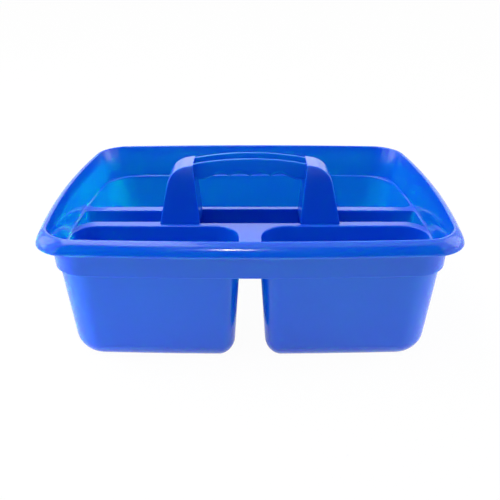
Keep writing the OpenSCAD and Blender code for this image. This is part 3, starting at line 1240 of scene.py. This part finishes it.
    def build(self, material: bpy.types.Material) -> bpy.types.Object:
        """Build and dress the tray.

        Args:
            material: Finish of the tray.

        Returns:
            The finished piece.
        """
        deck, wall = self.deck, self.wall
        half_x, half_y = self.wall_half
        radii = (self.corner_radius + wall / 2,) * 4
        plate = Form(self.plan, deck, (-half_x, -half_y), (half_x, half_y), radii)
        tray = self.band(material)
        deck_plate = loft("deck", [plate.drafted(wall / 2, z) for z in (deck - wall, deck)])
        outsides = []
        spaces = []
        for form in (self.front_form(), self.rear_form()):
            outsides.append(loft("bin", form.outside(0.0, self.floor_radius, deck - wall / 2)))
            rings = form.space(wall, self.floor_radius - wall, wall, self.deck_edge)
            spaces.append(loft("bin_space", rings))
        outsides.append(mirrored(outsides[0], "other_bin"))
        spaces.append(mirrored(spaces[0], "other_space"))
        combine(tray, Combine.JOIN, deck_plate, *outsides, *self.trough_block())
        combine(tray, Combine.CUT, *spaces, *self.trough_spaces(), *self.snap_slots())
        dress(tray, "tray", material)
        return tray


@dataclass(frozen=True)
class Softbox:
    """A studio lamp with a diffuser in front: a soft, even rectangle of light.

    A lamp that isn't mirrored makes no highlights, and one that doesn't light makes highlights only.
    """

    name: str
    size: Flat
    place: Solid
    aim: Solid
    radiance: float
    mirrored: bool = True
    lights: bool = True

    def build(self) -> bpy.types.Object:
        """Hang the lamp.

        Returns:
            The lamp's object.
        """
        lamp = bpy.data.lights.new(self.name, "AREA")
        lamp.shape = "RECTANGLE"
        lamp.size, lamp.size_y = self.size
        lamp.energy = self.radiance * math.pi * self.size[0] * self.size[1]
        piece = bpy.data.objects.new(self.name, lamp)
        piece.location = self.place
        way = Vector(self.aim) - Vector(self.place)
        piece.rotation_euler = way.to_track_quat("-Z", "Y").to_euler()
        piece.visible_camera = False
        piece.visible_glossy = self.mirrored
        piece.visible_diffuse = self.lights
        bpy.context.scene.collection.objects.link(piece)
        return piece


@dataclass
class Studio:
    """White sweep, softboxes, a dark flag in front and the camera."""

    floor_size: float = 30.0
    floor_colour: str = "EEEEEE"
    floor_glow: float = 0.97
    camera_place: Solid = (0.0, -0.56304, 0.34020)
    camera_pitch: float = 63.174
    focal_pixels: float = 593.16
    image_pixels: float = 500.0
    fill: float = 1.3
    fill_above: float = 0.75
    back_share: float = 0.1
    flag_colour: str = "101010"
    flag_size: Flat = (3.4, 1.8)
    flag_place: Solid = (0.0, -1.5, 1.0)
    lamps: tuple[Softbox, ...] = (
        Softbox("back_softbox", (2.4, 1.1), (0.0, 1.5, 0.95), (0.0, 0.0, 0.1), 0.9, lights=False),
        Softbox("top_softbox", (0.95, 2.0), (-0.7, -0.1, 1.7), (-0.7, -0.1, 0.0), 3.8),
        Softbox("key_lamp", (0.12, 0.12), (-0.09, -1.5, 1.30), (0.0, 0.0, 0.1), 116.0),
        Softbox("left_softbox", (0.8, 1.1), (-1.4, 0.2, 0.75), (0.0, 0.0, 0.1), 2.2),
        Softbox("right_softbox", (0.8, 1.1), (1.4, 0.2, 0.75), (0.0, 0.0, 0.1), 2.0),
        Softbox("left_low_softbox", (0.3, 0.14), (-0.45, 0.0, 0.07), (0.0, 0.0, 0.07), 22.0, mirrored=False),
        Softbox("right_low_softbox", (0.3, 0.14), (0.45, 0.0, 0.07), (0.0, 0.0, 0.07), 5.0, mirrored=False),
    )

    def backdrop_material(self) -> bpy.types.Material:
        """White paper that the camera sees as white and that still keeps a soft shadow.

        Returns:
            The floor's material.
        """
        material = bpy.data.materials.new("white seamless paper")
        tree = empty_tree(material)
        colour = linear_colour(self.floor_colour)
        paper = add_node(tree, "ShaderNodeBsdfDiffuse", feeds={"Color": colour, "Roughness": 0.5})
        white = add_node(tree, "ShaderNodeEmission", feeds={"Strength": 1.0})
        share = add_node(tree, MATH, {"operation": "MULTIPLY"}, {0: looked_at(tree), 1: self.floor_glow})
        mix = add_node(tree, "ShaderNodeMixShader", feeds={0: share, 1: paper, 2: white})
        add_node(tree, "ShaderNodeOutputMaterial", feeds={"Surface": mix})
        return material

    def build_floor(self) -> None:
        """Lay the floor under the caddy."""
        half = self.floor_size / 2 / MM
        corners = [(-half, -half, 0.0), (half, -half, 0.0), (half, half, 0.0), (-half, half, 0.0)]
        floor = mesh_piece("floor", corners, [(0, 1, 2, 3)])
        floor.data.materials.append(self.backdrop_material())

    def build_flag(self) -> None:
        """Hang a dark card behind the camera, which keeps the faces that look forwards deep in colour."""
        half_x, half_z = (side / 2 / MM for side in self.flag_size)
        x, y, z = (way / MM for way in self.flag_place)
        corners = [(-half_x, -half_z), (half_x, -half_z), (half_x, half_z), (-half_x, half_z)]
        flag = mesh_piece("flag", [(x + a, y, z + b) for a, b in corners], [(0, 1, 2, 3)])
        card = bpy.data.materials.new("black flocked card")
        tree = empty_tree(card)
        cloth = add_node(tree, "ShaderNodeBsdfDiffuse", feeds={"Color": linear_colour(self.flag_colour)})
        add_node(tree, "ShaderNodeOutputMaterial", feeds={"Surface": cloth})
        flag.data.materials.append(card)
        flag.visible_camera = False

    def build_world(self) -> None:
        """Fill light from all round, with a white background."""
        world = bpy.data.worlds.new("white tent")
        tree = empty_tree(world)
        # The tent is brightest round the horizon, dimmer overhead and dimmest behind the caddy
        way = add_node(tree, "ShaderNodeTexCoord").outputs["Generated"]
        axes = add_node(tree, "ShaderNodeSeparateXYZ", feeds={"Vector": way}).outputs
        falls = []
        for axis, near, far in (("Z", self.fill, self.fill_above), ("Y", 1.0, self.back_share)):
            span = {"Value": axes[axis], "To Min": near, "To Max": far}
            falls.append(add_node(tree, "ShaderNodeMapRange", feeds=span))
        tent = add_node(tree, MATH, {"operation": "MULTIPLY"}, {0: falls[0], 1: falls[1]})
        span = {"Value": looked_at(tree), "To Min": tent, "To Max": 1.0}
        strength = add_node(tree, "ShaderNodeMapRange", feeds=span)
        white = {"Color": (1.0, 1.0, 1.0, 1.0), "Strength": strength}
        light = add_node(tree, "ShaderNodeBackground", feeds=white)
        add_node(tree, "ShaderNodeOutputWorld", feeds={"Surface": light})
        bpy.context.scene.world = world

    def build_camera(self) -> None:
        """Set the camera where the photograph was taken from."""
        camera = bpy.data.cameras.new("camera")
        camera.lens = self.focal_pixels / self.image_pixels * camera.sensor_width
        piece = bpy.data.objects.new("camera", camera)
        piece.location = self.camera_place
        piece.rotation_euler = (math.radians(self.camera_pitch), 0.0, 0.0)
        bpy.context.scene.collection.objects.link(piece)
        bpy.context.scene.camera = piece

    def build(self) -> None:
        """Set up the whole studio."""
        bpy.context.scene.view_settings.view_transform = "Standard"
        self.build_camera()
        self.build_floor()
        self.build_flag()
        self.build_world()
        for lamp in self.lamps:
            lamp.build()


def clear_scene() -> None:
    """Empty Blender's start-up scene."""
    for piece in list(bpy.data.objects):
        bpy.data.objects.remove(piece)


def main() -> None:
    """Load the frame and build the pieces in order."""
    logging.basicConfig(level=logging.INFO, format="%(message)s")
    clear_scene()
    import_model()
    tray_box, handle_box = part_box("tray"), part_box("carry_handle")
    Studio().build()
    plastic = MouldedPolypropylene("moulded blue polypropylene", "0E5EE0", "0858DA").material()
    size = (tray_box[1] - tray_box[0]) / MM
    handle = CarryHandle(crown=handle_box[1].z / MM)
    handle.build(plastic)
    Tray(width=size.x, depth=size.y, height=size.z, handle=handle).build(plastic)


if __name__ == "__main__":
    main()
